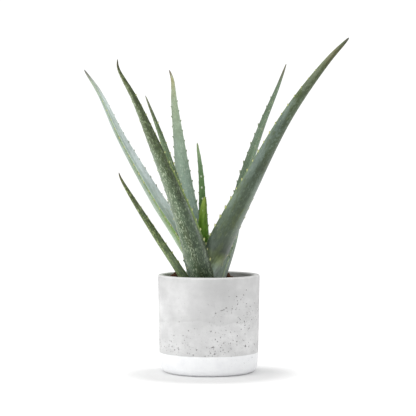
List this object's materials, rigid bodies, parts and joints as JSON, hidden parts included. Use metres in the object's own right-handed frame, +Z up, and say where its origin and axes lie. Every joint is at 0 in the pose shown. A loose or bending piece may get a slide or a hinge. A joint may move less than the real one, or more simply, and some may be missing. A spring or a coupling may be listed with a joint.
{
  "type": "potted aloe",
  "caption": "Potted aloe: a rosette of long tapering toothed succulent leaves growing from soil in a round concrete pot with a white dipped foot.",
  "frame": {"origin": "centre of the flat underside of the pot", "axes": "+Z up along the pot's axis; -Y is the front the plant is looked at from; +X is to the right seen from the front, towards the longest leaf"},
  "size_m": [0.336, 0.1628, 0.42],
  "materials": {
    "concrete": "matte cast concrete, white dipped foot band",
    "soil": "crumbly potting soil with bark",
    "stem": "fleshy, matte",
    "leaf": "waxy succulent skin, pale spots, satin",
    "young_leaf": "fresh waxy succulent skin, satin"
  },
  "bodies": {
    "root": {"pot": "concrete", "soil": "soil", "stem": "stem", "leaf_low_left": "leaf", "leaf_front_left": "leaf", "leaf_right_front": "leaf", "leaf_far_left": "leaf", "leaf_right_back": "leaf", "leaf_left_inner": "leaf", "leaf_back": "leaf", "leaf_centre": "young_leaf", "leaf_bud": "young_leaf"}
  },
  "joints": []
}
